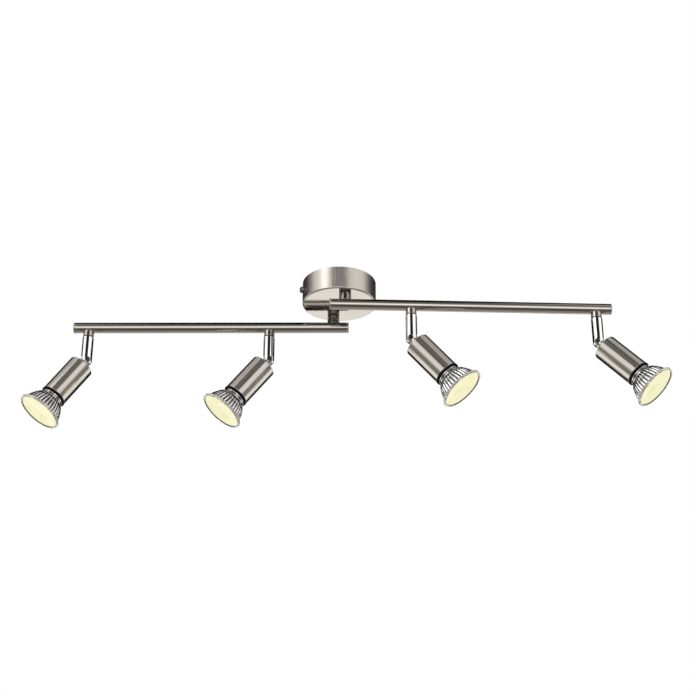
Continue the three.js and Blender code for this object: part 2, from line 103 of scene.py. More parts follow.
def span(node, place):
    """A node's lowest and highest Z in a place, and its largest distance from that Z axis."""
    local = in_place(corner_points(frame["nodes"][node].data), place)
    return local[:, 2].min(), local[:, 2].max(), np.hypot(local[:, 0], local[:, 1]).max()


def middle(node):
    """The middle of a node's box."""
    low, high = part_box(node)
    return (np.array(low) + np.array(high)) / 2


UP = (0.0, 0.0, 1.0)
canopy_place = seat((0, 0, 0), UP, middle("canopy_peg") * [1, 1, 0])


def bar_place(side):
    """Z up through the stem and the tube's axis, X outwards along the tube."""
    stem_at = np.array(joints[f"{side}_bar_swivel"]["pos_m"])
    outer_at = np.array(joints[f"{side}_outer_pan"]["pos_m"])
    return seat(stem_at, UP, outer_at - stem_at)


def arm_place(name):
    """Z up through the tilt pivot, X towards the side that the lamp head points to."""
    pivot = np.array(joints[f"{name}_tilt"]["pos_m"])
    return seat(pivot, UP, middle(f"{name}_bulb_lens") - pivot)


def head_place(name):
    """The tilt pivot with -Z along the lamp head's axis and Y along the pivot."""
    pivot = np.array(joints[f"{name}_tilt"]["pos_m"])
    ahead = middle(f"{name}_bulb_lens") - pivot
    return seat(pivot, -ahead, np.array([ahead[0], ahead[1], 0.0]))


# ---- outlines and grids ----------------------------------------------------------------------------
FLAT_RUN_MARGIN = 0.12
FACETS = 96
PEG_FACETS = 48
SCREW_FACETS = 64
WASHER_FACETS = 72
HOUSING_FACETS = 128
RIM_FACETS = 144
CANOPY_FACETS = 160


def eased(corners, steps=5):
    """A run of straight lines with arcs at its corners: each corner is (a, b, radius).

    An extra point stands just outside each end of an arc, so that the straight runs shade flat."""
    path = []
    for i, (a, b, radius) in enumerate(corners):
        here = np.array([a, b])
        if radius == 0 or i in (0, len(corners) - 1):
            path.append(here)
            continue
        to_last = unit(np.array(corners[i - 1][:2]) - here)
        to_next = unit(np.array(corners[i + 1][:2]) - here)
        half = np.arccos(np.clip(np.dot(to_last, to_next), -1, 1)) / 2
        centre = here + unit(to_last + to_next) * radius / np.sin(half)
        start = here + to_last * radius / np.tan(half) - centre
        end = here + to_next * radius / np.tan(half) - centre
        sweep = np.arccos(np.clip(np.dot(start, end) / radius**2, -1, 1))
        share = np.linspace(0, 1, steps + 1)[:, None]
        blend = np.sin((1 - share) * sweep) * start + np.sin(share * sweep) * end
        arc = centre + blend / np.sin(sweep)
        outside = FLAT_RUN_MARGIN * radius
        path.extend([arc[0] + to_last * outside, *arc, arc[-1] + to_next * outside])
    return np.array(path)


def subdivided(path, longest):
    """The same path with every straight stretch cut into equal steps no longer than longest."""
    runs = []
    for start, end in zip(path[:-1], path[1:]):
        count = max(1, int(np.ceil(np.linalg.norm(end - start) / longest)))
        runs.append(start + (end - start) * np.arange(count)[:, None] / count)
    return np.vstack([*runs, path[-1:]])


def turned(profile, facets=FACETS):
    """The point at height z and angle t is (r cos t, r sin t, z), for each (r, z) of the profile."""
    angle = np.arange(facets) * TURN / facets
    radius, height = profile[:, :1], profile[:, 1:]
    across = np.ones_like(angle)
    return np.stack([radius * np.cos(angle), radius * np.sin(angle), height * across], axis=-1)


def grid_faces(rows, columns, first):
    """Four-cornered faces between neighbouring points of a grid whose columns close on themselves.

    The point in row r and column c has the number first + r columns + c."""
    start = first + np.arange(rows - 1)[:, None] * columns
    column = np.arange(columns)[None, :]
    next_column = (column + 1) % columns
    corners = [start + column, start + next_column,
               start + columns + next_column, start + columns + column]
    return np.stack(corners, axis=-1).reshape(-1, 4)


def signed_volume(mesh):
    """The sum over triangles of a . (b x c) / 6, which is positive when the faces point outwards."""
    mesh.calc_loop_triangles()
    corners = np.empty(3 * len(mesh.loop_triangles), np.int32)
    mesh.loop_triangles.foreach_get("vertices", corners)
    points = corner_points(mesh)
    points -= points.mean(axis=0)
    a, b, c = (points[corners[k::3]] for k in range(3))
    return np.einsum("ij,ij->i", a, np.cross(b, c)).sum() / 6


def surface(name, grids, place):
    """One closed mesh from grids of points in a place's axes. Columns close on themselves."""
    points, faces, count = [], [], 0
    for grid in grids:
        rows, columns = grid.shape[:2]
        points.append(grid.reshape(-1, 3))
        faces.append(grid_faces(rows, columns, count))
        count += rows * columns
    points = np.vstack(points) @ place[:3, :3].T + place[:3, 3]
    mesh = bpy.data.meshes.new(name)
    mesh.from_pydata(points.tolist(), [], np.vstack(faces).tolist())
    return closed_piece(name, mesh)


MERGE_DISTANCE = 2e-7


def closed_piece(name, mesh):
    """Merges doubled points, drops faces without area, turns the faces outwards and makes the piece."""
    shape = bmesh.new()
    shape.from_mesh(mesh)
    bmesh.ops.remove_doubles(shape, verts=shape.verts, dist=MERGE_DISTANCE)
    bmesh.ops.dissolve_degenerate(shape, edges=shape.edges, dist=MERGE_DISTANCE)
    shape.to_mesh(mesh)
    shape.free()
    if signed_volume(mesh) < 0:
        mesh.flip_normals()
    piece = bpy.data.objects.new(name, mesh)
    bpy.context.scene.collection.objects.link(piece)
    return piece


SHARP = 1e-6


def slab(name, outline, low, high, ease, place):
    """A flat plate between two heights: the outline, drawn in a little towards its middle at both faces."""
    centre = outline.mean(axis=0)
    reach = np.linalg.norm(outline - centre, axis=1, keepdims=True)
    inner = centre + (outline - centre) * (1 - ease / reach)
    rings = [(inner, low), (outline, low + ease), (outline, high - ease), (inner, high)]
    grid = np.stack([np.column_stack([ring, np.full(len(ring), z)]) for ring, z in rings])
    caps = [np.broadcast_to(np.append(centre, z), (1, len(outline), 3)) for z in (low, high)]
    return surface(name, [np.vstack([caps[0], grid, caps[1]])], place)


def cut(piece, *cutters):
    """The piece with the cutters taken out of it, as one plain mesh."""
    for cutter in cutters:
        removal = piece.modifiers.new("cut", "BOOLEAN")
        removal.object, removal.operation, removal.solver = cutter, "DIFFERENCE", "EXACT"
    depsgraph = bpy.context.evaluated_depsgraph_get()
    result = bpy.data.meshes.new_from_object(piece.evaluated_get(depsgraph))
    piece.modifiers.clear()
    piece.data = result
    for cutter in cutters:
        bpy.data.objects.remove(cutter)
    return piece


def rod(place, radius, low, high, facets=PEG_FACETS):
    """A plain rod along Z, used as a cutter."""
    profile = np.array([[0, low], [radius, low], [radius, high], [0, high]])
    return surface("cutter", [turned(profile, facets)], place)


def brick(place, low, high):
    """A plain box between two corners, used as a cutter."""
    (x0, y0, z0), (x1, y1, z1) = low, high
    outline = np.array([[x0, y0], [x1, y0], [x1, y1], [x0, y1]])
    return slab("cutter", outline, z0, z1, SHARP, place)


# ---- what each vertex knows: its lay in the grain, and how near it is to an edge -------------------
GRAIN_STRETCH = 0.02
DRIFT_SIDE, DRIFT_DEPTH = 0.6, 0.3 * MM
GENTLE_EDGE, SHARP_EDGE = np.radians(9), np.radians(20)


def lay_along(local):
    """Grain along Z: the cross-grain pair is (x, y) and z is shrunk."""
    return np.column_stack([local[:, 0], local[:, 1], local[:, 2] * GRAIN_STRETCH])


def lay_around(local):
    """Grain around Z, as turning leaves it: the cross-grain pair is (r, z), with a slow drift by angle."""
    radius = np.hypot(local[:, 0], local[:, 1])
    drift = (local[:, 0] + DRIFT_SIDE * local[:, 1]) / np.maximum(radius, MM)
    return np.column_stack([radius, local[:, 2], DRIFT_DEPTH * drift])


def lay_plain(local):
    """No grain: the place's own axes."""
    return local


def edge_marks(mesh):
    """For each vertex, 0 on even ground and 1 where neighbouring faces turn by the sharp edge or more."""
    shape = bmesh.new()
    shape.from_mesh(mesh)
    marks = np.zeros(len(shape.verts))
    for edge in shape.edges:
        if len(edge.link_faces) == 2:
            turn = edge.calc_face_angle(0.0)
            for vertex in edge.verts:
                marks[vertex.index] = max(marks[vertex.index], turn)
    shape.free()
    return np.clip((marks - GENTLE_EDGE) / (SHARP_EDGE - GENTLE_EDGE), 0, 1)


def finished(piece, place, body, nodes, material, lay=lay_plain, crease=32, hollows=None):
    """Shades a piece, stores its grain and edge attributes, and seats it on its body.

    With hollows, a function of the points in the place's axes, the edge value marks hollows instead; silvered
    glass paints shade into what it marks."""
    mesh = piece.data
    local = in_place(corner_points(mesh), place)
    grain = mesh.attributes.new("lay", "FLOAT_VECTOR", "POINT")
    grain.data.foreach_set("vector", (lay(local) / MM).astype(np.float32).ravel())
    edges = mesh.attributes.new("edge", "FLOAT", "POINT")
    marks = hollows(local) if hollows else edge_marks(mesh)
    edges.data.foreach_set("value", marks.astype(np.float32))
    mesh.shade_smooth()
    mesh.set_sharp_from_angle(angle=np.radians(crease))
    mesh.materials.clear()
    mesh.materials.append(material)
    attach(piece, body)
    if nodes:
        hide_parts(*nodes)
    return piece


# ---- shader groups ---------------------------------------------------------------------------------
def new_group(name, inputs, outputs):
    """An empty shader group with the named sockets."""
    group = bpy.data.node_groups.new(name, "ShaderNodeTree")
    for socket, kind in inputs:
        group.interface.new_socket(socket, in_out="INPUT", socket_type=kind)
    for socket, kind in outputs:
        group.interface.new_socket(socket, in_out="OUTPUT", socket_type=kind)
    return group, Wiring(group)


class Wiring:
    """Adds nodes to a tree and joins them up."""

    def __init__(self, tree):
        self.tree = tree

    def add(self, kind, inputs=None, **settings):
        node = self.tree.nodes.new(kind)
        for name, value in settings.items():
            setattr(node, name, value)
        for key, value in (inputs or {}).items():
            self.feed(node.inputs[key], value)
        return node

    def feed(self, target, value):
        """Joins an output to the socket, or sets the socket to a plain value."""
        if hasattr(value, "is_output"):
            self.tree.links.new(value, target)
        else:
            target.default_value = value

    def link(self, output, target):
        self.tree.links.new(output, target)

    def math(self, operation, a, b=0.0):
        return self.add("ShaderNodeMath", {0: a, 1: b}, operation=operation).outputs[0]

    def times(self, a, b):
        return self.math("MULTIPLY", a, b)

    def ramp(self, value, low, high, to_low=0.0, to_high=1.0, kind="SMOOTHSTEP"):
        limits = {"From Min": low, "From Max": high, "To Min": to_low, "To Max": to_high}
        node = self.add("ShaderNodeMapRange", {"Value": value, **limits}, interpolation_type=kind)
        return node.outputs["Result"]

    def noise(self, vector, scale, detail=3.0, roughness=0.5):
        settings = {"Vector": vector, "Scale": scale, "Detail": detail, "Roughness": roughness}
        return self.add("ShaderNodeTexNoise", settings).outputs["Fac"]

    def mix(self, factor, a, b):
        return self.add("ShaderNodeMix", {0: factor, 6: a, 7: b}, data_type="RGBA").outputs[2]

    def mix_values(self, factor, a, b):
        return self.add("ShaderNodeMix", {0: factor, 2: a, 3: b}, data_type="FLOAT").outputs[0]

    def relief(self, shader, strength, distance, height):
        inputs = {"Strength": strength, "Distance": distance, "Height": height}
        self.link(self.add("ShaderNodeBump", inputs).outputs["Normal"], shader.inputs["Normal"])

    def surface_facts(self):
        """The piece's lay vector and edge value."""
        lay = self.add("ShaderNodeAttribute", attribute_name="lay").outputs["Vector"]
        return lay, self.add("ShaderNodeAttribute", attribute_name="edge").outputs["Fac"]

    def wear(self, lay, edge, amount):
        """The worn edges and the smudges that the wear group gives for one amount of wear."""
        inputs = {"Lay": lay, "Edge": edge, "Amount": amount}
        outputs = self.add_group(WEAR, inputs).outputs
        return outputs["Worn"], outputs["Smudge"]

    def add_group(self, group, inputs):
        node = self.add("ShaderNodeGroup", node_tree=group)
        for name, value in inputs.items():
            self.feed(node.inputs[name], value)
        return node


FLOAT, VECTOR = "NodeSocketFloat", "NodeSocketVector"


def grain_group():
    """Brushing: fine and coarse noise stretched along the grain, summed into one streak value."""
    group, w = new_group("Brushed grain", [("Lay", VECTOR), ("Fineness", FLOAT)], [("Streaks", FLOAT)])
    ins, outs = w.add("NodeGroupInput"), w.add("NodeGroupOutput")
    fine = w.noise(ins.outputs["Lay"], w.times(ins.outputs["Fineness"], 4.0), 2.0)
    broad = w.noise(ins.outputs["Lay"], 0.7, 2.0)
    streaks = w.math("ADD", w.times(fine, 0.6), w.times(broad, 0.4))
    w.link(w.ramp(streaks, 0.3, 0.7), outs.inputs["Streaks"])
    return group


def wear_group():
    """Wear: the edge attribute broken up by noise, and handling marks as soft patches."""
    group, w = new_group("Edge wear and handling", [("Lay", VECTOR), ("Edge", FLOAT), ("Amount", FLOAT)],
                         [("Worn", FLOAT), ("Smudge", FLOAT)])
    ins, outs = w.add("NodeGroupInput"), w.add("NodeGroupOutput")
    broken = w.ramp(w.noise(ins.outputs["Lay"], 1.3, 4.0), 0.35, 0.6)
    worn = w.times(w.times(ins.outputs["Edge"], broken), ins.outputs["Amount"])
    smudge = w.ramp(w.noise(ins.outputs["Lay"], 0.09, 3.0, 0.6), 0.45, 0.75)
    w.link(worn, outs.inputs["Worn"])
    w.link(smudge, outs.inputs["Smudge"])
    return group


GRAIN = grain_group()
WEAR = wear_group()


def new_material(name, **constants):
    """A material with one Principled shader whose constant values sit on its own sockets."""
    material = bpy.data.materials.new(name)
    material.use_nodes = True
    material.node_tree.nodes.clear()
    w = Wiring(material.node_tree)
    sockets = {key.replace("_", " "): value for key, value in constants.items()}
    shader = w.add("ShaderNodeBsdfPrincipled", sockets)
    output = w.add("ShaderNodeOutputMaterial")
    w.link(shader.outputs[0], output.inputs["Surface"])
    return material, w, shader


def shade(rgb, factor):
    """A colour made lighter or darker, with full alpha."""
    return (*[min(1.0, channel * factor) for channel in rgb], 1.0)


def brushed_metal(name, colour, rough, streak_depth, bump, fineness=1.0):
    """Brushed plate: the streaks vary colour, roughness and height; worn edges are brighter, partly real wear and
    partly a painted edge highlight.
    """
    edge_wear, handling, handling_haze, streak_height = 0.7, 0.25, 0.05, 0.02 * MM
    handled_shade, worn_and_highlight_shade = shade(colour, 0.82), shade(colour, 1.3)
    material, w, shader = new_material(name, Metallic=1.0)
    lay, edge = w.surface_facts()
    streaks = w.add_group(GRAIN, {"Lay": lay, "Fineness": fineness}).outputs["Streaks"]
    worn, smudge = w.wear(lay, edge, edge_wear)
    plate = w.mix(streaks, shade(colour, 1 - streak_depth), shade(colour, 1 + streak_depth))
    handled = w.mix(w.times(smudge, handling), plate, handled_shade)
    # edges brighter: partly real wear, partly a painted highlight along the eased edges
    w.link(w.mix(worn, handled, worn_and_highlight_shade), shader.inputs["Base Color"])
    brushed = w.ramp(streaks, 0, 1, rough * 0.85, rough * 1.2, kind="LINEAR")
    w.link(w.math("ADD", brushed, w.times(smudge, handling_haze)), shader.inputs["Roughness"])
    w.relief(shader, bump, streak_height, streaks)
    return material


def polish_floor(material, rough, inside_rough):
    """Makes the canopy smooth under its flat floor and dull inside, by the lay values in millimetres.

    The floor's underside has the lowest third value, and the wall's outside the widest first two."""
    w = Wiring(material.node_tree)
    shader = next(node for node in material.node_tree.nodes if node.type == "BSDF_PRINCIPLED")
    wall_rough = shader.inputs["Roughness"].links[0].from_socket
    lay, _ = w.surface_facts()
    axis = w.add("ShaderNodeSeparateXYZ", {0: lay}).outputs
    low, _, radius = (value / MM for value in span("canopy_cup", canopy_place))
    squares = w.math("ADD", w.math("POWER", axis["X"], 2.0), w.math("POWER", axis["Y"], 2.0))
    outside = w.ramp(w.math("SQRT", squares), radius - 0.7, radius - 0.4)
    sides = w.mix_values(outside, inside_rough, wall_rough)
    above_underside = w.ramp(axis["Z"], low + 0.5, low + 0.9)
    w.link(w.mix_values(above_underside, rough, sides), shader.inputs["Roughness"])


def polished_metal(name, colour, rough):
    """Polished plate: faint handling haze and hairlines over a mirror finish."""
    edge_wear, hairline_tint, hairline_rough, handling_haze = 0.5, 0.15, 0.06, 0.05
    worn_and_highlight_shade, hairline_shade = shade(colour, 1.15), shade(colour, 0.8)
    material, w, shader = new_material(name, Metallic=1.0)
    lay, edge = w.surface_facts()
    worn, smudge = w.wear(lay, edge, edge_wear)
    hairline = w.ramp(w.noise(lay, 9.0, 1.0), 0.62, 0.7)
    # edges brighter: partly real wear, partly a painted highlight along the eased edges
    tint = w.mix(worn, shade(colour, 1.0), worn_and_highlight_shade)
    w.link(w.mix(w.times(hairline, hairline_tint), tint, hairline_shade), shader.inputs["Base Color"])
    haze = w.math("ADD", w.times(smudge, handling_haze), rough)
    w.link(w.math("ADD", haze, w.times(hairline, hairline_rough)), shader.inputs["Roughness"])
    return material


def moulded(name, colour, rough, mottle, bump, rubbing=0.6, **constants):
    """Moulded or fired: fine grain in the height, slow mottling in the colour, paler rubbed edges."""
    pore_height = 0.03 * MM
    rubbed = shade([channel + 0.04 for channel in colour], 1.15)
    material, w, shader = new_material(name, **constants)
    lay, edge = w.surface_facts()
    worn, _ = w.wear(lay, edge, rubbing)
    patches = w.noise(lay, 0.35, 4.0)
    body = w.mix(patches, shade(colour, 1 - mottle), shade(colour, 1 + mottle))
    w.link(w.mix(worn, body, rubbed), shader.inputs["Base Color"])
    w.link(w.ramp(patches, 0.2, 0.8, rough * 0.85, rough * 1.15), shader.inputs["Roughness"])
    w.relief(shader, bump, pore_height, w.noise(lay, 5.0, 2.0))
    return material


def record_colour(slot):
    """The base colour that the record gives a material slot."""
    return next(m["base_color"][:3] for m in frame["record"]["materials"] if m["slot"] == slot)


def nickel(name, tone, rough, streak_depth, bump, fineness=1.0):
    """Nickel plate of the record's colour, made darker by tone; a low tone is painted shade."""
    colour = shade(record_colour("satin_nickel"), tone)[:3]
    return brushed_metal(name, colour, rough, streak_depth, bump, fineness)


def zinc(name, tone, rough):
    """Zinc plate of the record's colour, made darker by tone, with coarse grain; a low tone is painted shade."""
    return brushed_metal(name, shade(record_colour("zinc_steel"), tone)[:3], rough, 0.12, 0.4, 0.5)


satin_nickel = nickel("satin nickel", 1.0, 0.17, 0.04, 0.12)
tube_nickel = nickel("satin nickel, drawn tube", 1.0, 0.09, 0.03, 0.06)
canopy_nickel = nickel("satin nickel, drawn cup", 1.0, 0.31, 0.06, 0.2)
polish_floor(canopy_nickel, 0.07, 0.55)
# painted shade: stems and side screw darkened to 0.36 of the nickel's colour, standing in for the dark room they
# reflect
nickel_painted_dark = nickel("nickel, painted dark", 0.36, 0.16, 0.04, 0.15)
# painted shade: the stubs darkened to 0.72 of the nickel's colour
stub_nickel_painted_dark = nickel("turned nickel, painted darker", 0.72, 0.14, 0.04, 0.15)
turned_nickel = nickel("satin nickel, turned", 1.0, 0.24, 0.05, 0.25, 1.4)
polished_chrome = polished_metal("polished chrome", record_colour("polished_chrome"), 0.03)
zinc_steel = zinc("bright zinc plate", 1.0, 0.36)
# painted shade: pivot screw heads darkened to 0.1 of the zinc's colour, standing in for dark reflections
pivot_zinc_painted_dark = zinc("zinc plate, painted dark", 0.1, 0.3)
black_plastic = moulded("black heat-proof plastic", record_colour("black_plastic"), 0.5, 0.3, 0.3,
                        rubbing=0.0, Specular_IOR_Level=0.06)
terminal_nylon = moulded("white nylon", record_colour("terminal_plastic"), 0.45, 0.05, 0.3)
lead_silicone = moulded("silicone sheath", record_colour("lead_sheath"), 0.55, 0.05, 0.2)
steatite = moulded("steatite", record_colour("steatite"), 0.7, 0.07, 0.7)


RIPPLE_HEIGHT = 0.1 * MM


def silvering():
    """Silvered glass seen from behind: bright, slightly wavy, patchy, with painted shade: black where the edge
    value marks hollows and sharp edges.
    """
    colour = record_colour("silvered_glass")
    # painted shade: the colour that the hollows and sharp edges of the silvering are painted
    painted_shade_black = (0.012, 0.012, 0.013, 1)
    material, w, shader = new_material("silvered glass", Metallic=1.0, Coat_Weight=0.3, Coat_Roughness=0.04)
    lay, shaded_hollow = w.surface_facts()
    patches = w.ramp(w.noise(lay, 0.3, 3.0), 0.35, 0.65)
    silver = w.mix(patches, shade(colour, 1.2), shade(colour, 1.38))
    # painted shade: the silver turns black where the edge value marks a hollow
    w.link(w.mix(w.ramp(shaded_hollow, 0.45, 0.75), silver, painted_shade_black), shader.inputs["Base Color"])
    w.link(w.ramp(w.noise(lay, 1.0, 2.0), 0.2, 0.8, 0.04, 0.1), shader.inputs["Roughness"])
    w.relief(shader, 0.25, RIPPLE_HEIGHT, w.noise(lay, 0.8, 2.0))
    return material


def clear_glass():
    """Clear pressed glass with a faint surface ripple, lit a little by the lamp beside it."""
    material, w, shader = new_material(
        "clear glass", Transmission_Weight=0.6, IOR=1.5, Metallic=0.0, Base_Color=(0.97, 0.965, 0.94, 1),
        Emission_Color=(1.0, 0.97, 0.88, 1), Emission_Strength=0.1)
    lay, _ = w.surface_facts()
    w.link(w.ramp(w.noise(lay, 0.6, 2.0), 0.3, 0.7, 0.14, 0.26), shader.inputs["Roughness"])
    w.relief(shader, 0.15, RIPPLE_HEIGHT, w.noise(lay, 0.5, 2.0))
    return material


LENS_CREAM = (1.0, 0.955, 0.62, 1)
LENS_GREEN = (0.83, 0.93, 0.38, 1)
LENS_PEACH = (0.98, 0.72, 0.42, 1)
LENS_WHITE = (1.0, 0.98, 0.86, 1)


def lit_lens():
    """Front glass lit from behind: a cell pattern over cream, with greener, peach and white patches."""
    green_share, peach_share, white_share, cell_height = 0.8, 0.5, 0.8, 0.4 * MM
    material, w, shader = new_material(
        "lit front glass", Emission_Strength=1.0, Coat_Weight=0.5, Coat_Roughness=0.05, Roughness=0.2,
        Base_Color=(0.04, 0.04, 0.03, 1))
    lay, _ = w.surface_facts()
    green = w.ramp(w.noise(lay, 0.1, 2.0), 0.45, 0.7)
    tinted = w.mix(w.times(green, green_share), LENS_CREAM, LENS_GREEN)
    moved = w.add("ShaderNodeMapping", {"Vector": lay, "Location": (31.0, 7.0, 3.0)}).outputs[0]
    peach = w.ramp(w.noise(moved, 0.075, 2.0), 0.5, 0.72)
    tinted = w.mix(w.times(peach, peach_share), tinted, LENS_PEACH)
    cells = w.add("ShaderNodeTexVoronoi", {"Vector": lay, "Scale": 0.24}, feature="SMOOTH_F1")
    cells = cells.outputs["Distance"]
    glow = w.mix(w.ramp(cells, 0.15, 0.5, white_share, 0.0), tinted, LENS_WHITE)
    w.link(glow, shader.inputs["Emission Color"])
    w.relief(shader, 0.3, cell_height, cells)
    return material


silvered_glass = silvering()
rim_glass = clear_glass()
glowing_lens = lit_lens()


# ---- canopy ------------------------------------------------------------------------------------------
def lay_canopy(local):
    """Upright grain on the cup's wall and straight grain along X on its flat floor."""
    wall_depth = 1.2 * MM
    radius = np.hypot(local[:, 0], local[:, 1])
    on_floor = radius < radius.max() - wall_depth
    return np.where(on_floor[:, None], local * [GRAIN_STRETCH, 1, 1], lay_along(local))


def side_fixing_place(way):
    """The side screw's height on the canopy's axis, with Z out through the screw (-1) or the peg (1)."""
    level = in_place(middle("canopy_screw")[None, :], canopy_place)[0][2]
    return lying(shifted(canopy_place, z=level), way)


def canopy_cup():
    """A drawn cup: a flat floor, a rolled bottom edge and a straight wall, with stem and side holes."""
    low, high, radius = span("canopy_cup", canopy_place)
    wall, floor, roll, inner_roll, lip = 1.0 * MM, 1.2 * MM, 1.5 * MM, 0.8 * MM, 0.25 * MM
    stem_hole, side_hole = 5.0 * MM, 2.0 * MM
    profile = eased([
        (0, low, 0), (radius, low, roll), (radius, high, lip), (radius - wall, high, lip),
        (radius - wall, low + floor, inner_roll), (0, low + floor, 0)], steps=6)
    cup = surface("canopy_shell", [turned(subdivided(profile, 4 * MM), CANOPY_FACETS)], canopy_place)
    stem_holes = []
    for side in SIDES:
        at = in_place(np.array([joints[f"{side}_bar_swivel"]["pos_m"]]), canopy_place)[0]
        stem_holes.append(rod(shifted(canopy_place, at[0], at[1]), stem_hole, low - floor, low + 2 * floor))
    side_holes = [rod(side_fixing_place(way), side_hole, radius - 3 * wall, radius + 3 * wall, 32)
                  for way in (-1, 1)]
    finished(cut(cup, *stem_holes, *side_holes), canopy_place, "canopy", ["canopy_cup"],
             canopy_nickel, lay_canopy)


def side_fixings():
    """The round-headed side screw with its driver slot, and the flush peg on the other side."""
    _, _, cup_radius = span("canopy_cup", canopy_place)
    place = side_fixing_place(-1)
    inside, end, radius = span("canopy_screw", place)
    shank, start, crown = 1.7 * MM, cup_radius + 0.3 * MM, 1.6 * MM
    profile = eased([
        (0, inside, 0), (shank, inside, 0.3 * MM), (shank, start, 0), (radius, start, 0.2 * MM),
        (radius, end, crown), (0, end, 0)])
    screw = surface("clamp_screw", [turned(profile, SCREW_FACETS)], place)
    slot_half = 0.5 * MM
    slot_low = (-slot_half, -2 * radius, end - 2 * slot_half)
    slot = brick(place, slot_low, (slot_half, 2 * radius, end + radius))
    # painted shade: the side screw takes the nickel painted dark
    finished(cut(screw, slot), place, "canopy", ["canopy_screw"], nickel_painted_dark, lay_around)
    place = side_fixing_place(1)
    inside, end, radius = span("canopy_peg", place)
    profile = eased([(0, inside, 0), (radius, inside, 0.3 * MM), (radius, end, 0.4 * MM), (0, end, 0)])
    peg = surface("locating_peg", [turned(profile, PEG_FACETS)], place)
    finished(peg, place, "canopy", ["canopy_peg"], zinc_steel, lay_around)


def eased_copy(node, name, body, material, place, width, rounds=0):
    """A CAD node's own shape with its doubled points merged, its edges eased and its curves rounded."""
    same_point, flat, corner = 1e-6, np.radians(1), np.radians(40)
    mesh = frame["nodes"][node].data.copy()
    shape = bmesh.new()
    shape.from_mesh(mesh)
    bmesh.ops.remove_doubles(shape, verts=shape.verts, dist=same_point)
    bmesh.ops.dissolve_limit(shape, angle_limit=flat, verts=shape.verts, edges=shape.edges)
    if width:
        sharp = [edge for edge in shape.edges
                 if len(edge.link_faces) == 2 and edge.calc_face_angle(0) > corner]
        bmesh.ops.bevel(shape, geom=sharp, offset=width, segments=2, affect="EDGES", clamp_overlap=True)
    bmesh.ops.triangulate(shape, faces=[face for face in shape.faces if len(face.verts) > 4])
    shape.to_mesh(mesh)
    shape.free()
    mesh.name = name
    for attribute in [a.name for a in mesh.attributes if a.name in ("lay", "edge")]:
        mesh.attributes.remove(mesh.attributes[attribute])
    piece = bpy.data.objects.new(name, mesh)
    bpy.context.scene.collection.objects.link(piece)
    finished(piece, place, body, [node], material)
    if rounds:
        smoother = piece.modifiers.new("rounding", "SUBSURF")
        smoother.levels = smoother.render_levels = rounds
    return piece


def canopy_inside():
    """The bracket, terminal block, earth screw and leads that the open top of the canopy shows."""
    eased_copy("ceiling_bracket", "ceiling_strap", "canopy", zinc_steel,
               canopy_place, 0.25 * MM)
    eased_copy("terminal_block", "clamp_terminals", "canopy", terminal_nylon,
               canopy_place, 0.3 * MM)
    eased_copy("earth_screw", "earthing_screw", "canopy", zinc_steel,
               canopy_place, 0.15 * MM)
    for side in SIDES:
        eased_copy(f"{side}_lead", f"{side}_stem_flex", "canopy", lead_silicone,
                   canopy_place, 0, rounds=2)


# ---- bars --------------------------------------------------------------------------------------------
TUBE_WALL = 1.0 * MM
SEAT_GAP = 0.3 * MM


def rested(profile, tube, way):
    """A turned grid standing on a tube that lies along X, above it (way 1) or below it (way -1).

    A point inside the tube moves straight out to its surface, where z squared is tube squared less
    y squared."""
    grid = turned(profile)
    on_tube = np.sqrt(np.maximum(tube**2 - grid[..., 1] ** 2, 0))
    grid[..., 2] = way * np.maximum(way * grid[..., 2], on_tube)
    return grid


def seat_radius_on(side):
    """The radius that a stem or stub is fitted to: the tube's own and a little more."""
    return span(f"{side}_bar_tube", lying(bar_place(side)))[2] + SEAT_GAP


def stem(side):
    """A hollow swivel stem: an eased foot on the tube, a shoulder under the canopy and a threaded neck."""
    place = bar_place(side)
    _, top, radius = span(f"{side}_stem", place)
    bore, neck, foot, edge = 3.0 * MM, 4.7 * MM, 3.0 * MM, 0.8 * MM
    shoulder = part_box("canopy_cup")[0][2] - SEAT_GAP - place[2, 3]
    thread_pitch, thread_depth, end_chamfer = 1.0 * MM, 0.3 * MM, 0.4 * MM
    body = eased([(bore, foot, 0), (radius, foot, edge), (radius, shoulder, edge), (neck, shoulder, 0)])
    steps = np.arange(shoulder + 2 * thread_pitch, top - end_chamfer, thread_pitch / 2)
    thread = np.column_stack([np.where(np.arange(len(steps)) % 2, neck - thread_depth, neck), steps])
    end = np.array([[neck - end_chamfer, top], [bore, top], [bore, foot]])
    grid = rested(np.vstack([subdivided(body, 0.5 * MM), thread, end]), seat_radius_on(side), 1)
    piece = surface(f"{side}_swivel_stem", [grid], place)
    # painted shade: the stem takes the nickel painted dark
    finished(piece, place, f"{side}_bar", [f"{side}_stem"], nickel_painted_dark, lay_along)


